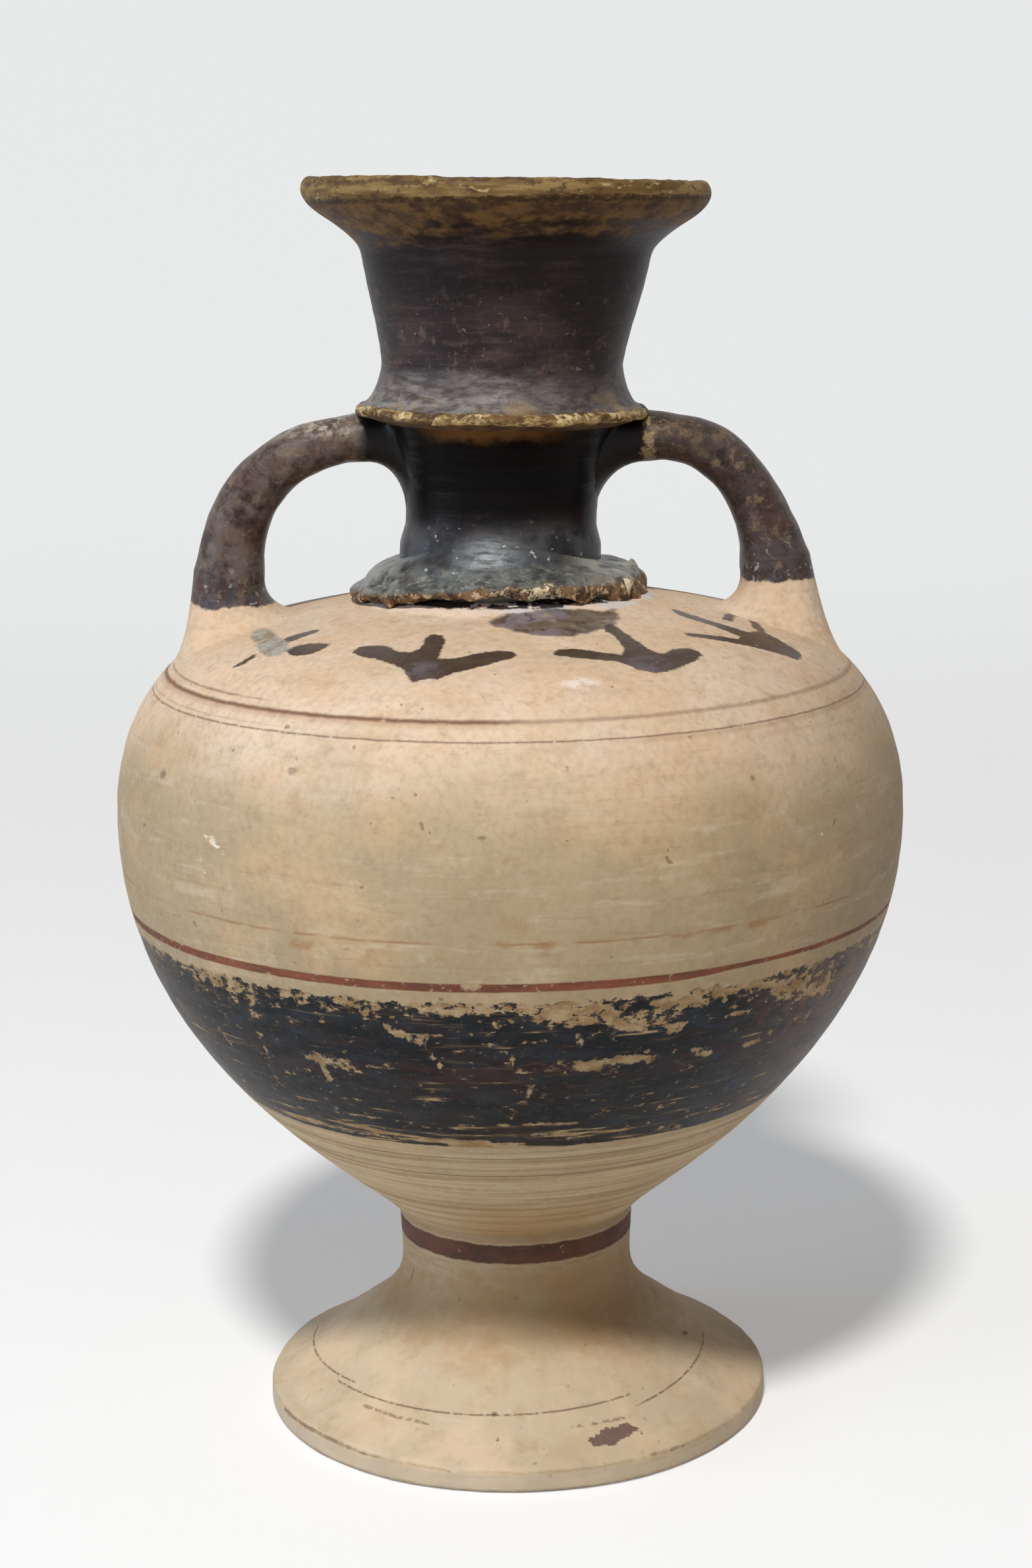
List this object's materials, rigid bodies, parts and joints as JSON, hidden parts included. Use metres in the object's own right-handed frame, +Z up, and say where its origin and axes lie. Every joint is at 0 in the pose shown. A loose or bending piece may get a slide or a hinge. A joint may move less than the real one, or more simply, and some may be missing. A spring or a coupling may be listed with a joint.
{
  "type": "amphoriskos",
  "caption": "Small ceramic jar with ovoid body, flaring foot, narrow ridged neck, spread lip and two handles from neck to shoulder.",
  "frame": {"origin": "on the table, under the vessel's axis", "axes": "+Z up along the vessel's axis, the two handles along X, -Y to the front"},
  "size_m": [0.1008, 0.1008, 0.1597],
  "materials": {
    "pale_clay": "matte fired clay, smoothed on the wheel",
    "painted_clay": "smoothed fired clay with painted lines, a flaking dark band and sprigs",
    "dark_slip": "dark brown-black slip with a soft sheen",
    "worn_slip": "dark slip, rubbed to the clay on edges"
  },
  "bodies": {
    "root": {"foot": "pale_clay", "body": "painted_clay", "neck": "dark_slip", "neck_collar": "dark_slip", "neck_ridge": "worn_slip", "mouth": "dark_slip", "handle_right": "worn_slip", "handle_left": "worn_slip"}
  },
  "joints": []
}
